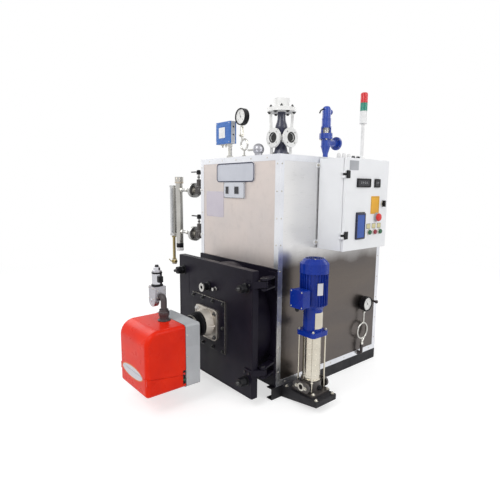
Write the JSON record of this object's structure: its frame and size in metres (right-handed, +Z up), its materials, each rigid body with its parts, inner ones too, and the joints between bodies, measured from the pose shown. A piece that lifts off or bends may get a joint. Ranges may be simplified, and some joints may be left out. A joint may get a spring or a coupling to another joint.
{
  "type": "packaged steam generator",
  "caption": "Skid-mounted steam generator: clad cabinet over a drum with a hinged furnace door and burner, feed pump, level gauge, valves and control cabinet.",
  "frame": {"origin": "on the floor under the middle of the cabinet", "axes": "+Z up, furnace door and burner towards -Y, control cabinet and pump on the +X side"},
  "size_m": [1.6855, 1.911, 2.039],
  "materials": {
    "black_steel": "semi-gloss black paint",
    "skid_paint": "satin black paint",
    "boiler_plate": "bare furnace steel",
    "refractory": "cast refractory",
    "matte_stainless": "matte stainless sheet",
    "bright_stainless": "bright rolled stainless",
    "aluminium_trim": "mill-finish aluminium",
    "sign_grey": "light grey plate",
    "knob_black": "black moulding",
    "sight_steel": "bright ring on black body",
    "cast_flange": "sand-cast aluminium",
    "hood_red": "gloss red-orange moulding",
    "burner_grey": "grey painted casting",
    "iron_pipe": "dark malleable iron",
    "valve_grey": "die-cast grey",
    "pump_iron": "dark cast iron",
    "pump_steel": "polished stainless",
    "pump_blue": "gloss blue paint",
    "cabinet_white": "textured light grey-white powder coat",
    "galvanised": "galvanised sheet",
    "hinge_black": "black moulding",
    "display_black": "dark display windows",
    "button_colours": "red and green buttons",
    "gland_white": "white and black glands",
    "light_white": "white tube",
    "lens_colours": "red over green lenses",
    "gauge_steel": "stainless tube",
    "cock_steel": "steel flanges, dark bodies",
    "switch_blue": "blue box, grey side",
    "dial_case": "black case, white dial",
    "probe_chrome": "bright dome",
    "valve_black": "dark blue-black casting",
    "valve_white": "white paint",
    "safety_blue": "blue paint"
  },
  "bodies": {
    "generator": {"base_skids": "skid_paint", "base_cross_members": "skid_paint", "pump_platform": "skid_paint", "drum_shell": "black_steel", "tube_plate": "boiler_plate", "furnace_tube": "boiler_plate", "smoke_tubes": "boiler_plate", "front_plate": "black_steel", "front_panel": "matte_stainless", "side_panels": "bright_stainless", "rear_panel": "bright_stainless", "top_cover": "aluminium_trim", "cabinet_trims": "aluminium_trim", "sign_plate": "sign_grey", "hinge_brackets": "black_steel", "pump_base": "pump_iron", "pump_stainless": "pump_steel", "pump_head": "pump_blue", "pump_motor": "pump_blue", "terminal_box": "pump_blue", "control_cabinet": "cabinet_white", "cabinet_brackets": "cabinet_white", "mounting_plate": "galvanised", "cabinet_hinges": "cabinet_white", "cable_glands": "gland_white", "light_pole": "light_white", "light_lenses": "lens_colours", "level_chamber": "gauge_steel", "level_rail": "gauge_steel", "level_cocks": "cock_steel", "pressure_switch": "switch_blue", "gauge_pipework": "gauge_steel", "pressure_gauges": "dial_case", "probe_head": "probe_chrome", "steam_valve_body": "valve_black", "steam_valve_bonnet": "valve_white", "safety_valve_body": "safety_blue", "safety_valve_bonnet": "safety_blue", "feed_pipework": "iron_pipe"},
    "furnace_door": {"furnace_door": "black_steel", "door_refractory": "refractory", "door_knobs": "knob_black", "sight_glass": "sight_steel", "burner_plate": "black_steel", "burner_flange": "cast_flange", "burner_snout": "knob_black", "burner_body": "burner_grey", "burner_hood": "hood_red", "gas_pipe": "iron_pipe", "gas_valve": "valve_grey"},
    "control_door": {"control_door": "cabinet_white", "door_hardware": "hinge_black", "door_displays": "display_black", "door_buttons": "button_colours"},
    "upper_cock_lever": {"upper_cock_lever": "hinge_black"},
    "lower_cock_lever": {"lower_cock_lever": "hinge_black"}
  },
  "joints": [
    {"name": "furnace_door_hinge", "type": "hinge", "parent": "generator", "child": "furnace_door", "pos_m": [0.445, -0.69, 0.514], "axis": [0, 0, 1], "range_deg": [0, 100]},
    {"name": "control_door_hinge", "type": "hinge", "parent": "generator", "child": "control_door", "pos_m": [0.6565, -0.214, 1.285], "axis": [0, 0, -1], "range_deg": [0, 110]},
    {"name": "upper_cock_turn", "type": "hinge", "parent": "generator", "child": "upper_cock_lever", "pos_m": [-0.506, -0.54, 1.494], "axis": [0, 0, 1], "range_deg": [0, 90]},
    {"name": "lower_cock_turn", "type": "hinge", "parent": "generator", "child": "lower_cock_lever", "pos_m": [-0.506, -0.54, 1.145], "axis": [0, 0, 1], "range_deg": [0, 90]}
  ]
}
